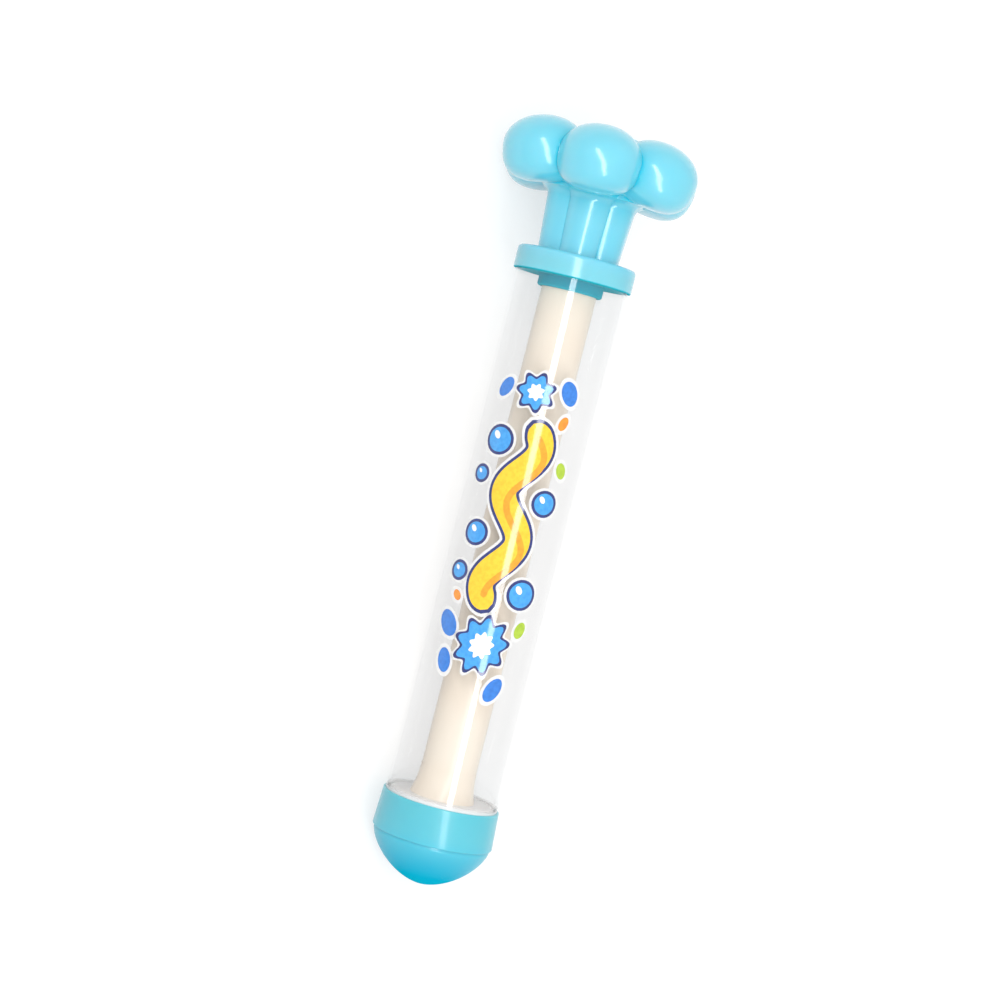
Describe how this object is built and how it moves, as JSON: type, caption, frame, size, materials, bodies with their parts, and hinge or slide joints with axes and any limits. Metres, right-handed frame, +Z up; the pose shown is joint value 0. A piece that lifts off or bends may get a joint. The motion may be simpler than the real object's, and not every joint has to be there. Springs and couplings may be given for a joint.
{
  "type": "water squirter",
  "caption": "Pull-type water squirter: clear barrel with a domed nozzle cap, and a piston on a hollow rod pulled by a round-lobed flower handle on a fluted stem.",
  "frame": {"origin": "middle of the length, below the barrel's axis, on the surface that the two lower lobes of the handle lie on", "axes": "+X along the barrel towards the nozzle, +Z up between two lobes of the handle, +Y to the left seen from behind the handle"},
  "size_m": [0.2686, 0.0746, 0.0684],
  "materials": {
    "clear_plastic": "clear, smooth extruded",
    "blue_plastic": "glossy moulded",
    "cream_plastic": "satin extruded",
    "white_plastic": "satin moulded",
    "screw_steel": "zinc plated",
    "seal_rubber": "soft, matt"
  },
  "bodies": {
    "barrel": {"barrel_tube": "clear_plastic", "nose_cap": "blue_plastic", "end_cap": "blue_plastic"},
    "seal": {"piston_seal": "seal_rubber"},
    "plunger": {"handle_knob": "blue_plastic", "handle_cover": "blue_plastic", "handle_screw": "screw_steel", "rod_plug": "white_plastic", "piston_rod": "cream_plastic", "piston_foot": "cream_plastic", "piston_rear_plate": "white_plastic", "piston_front_plate": "white_plastic", "piston_screw": "screw_steel"}
  },
  "joints": [
    {"name": "plunger_slide", "type": "slide", "parent": "barrel", "child": "seal", "axis": [-1, 0, 0], "range_m": [0, 0.1705]},
    {"name": "plunger_turn", "type": "hinge", "parent": "seal", "child": "plunger", "pos_m": [0, 0, 0.0342], "axis": [1, 0, 0], "continuous": true}
  ]
}
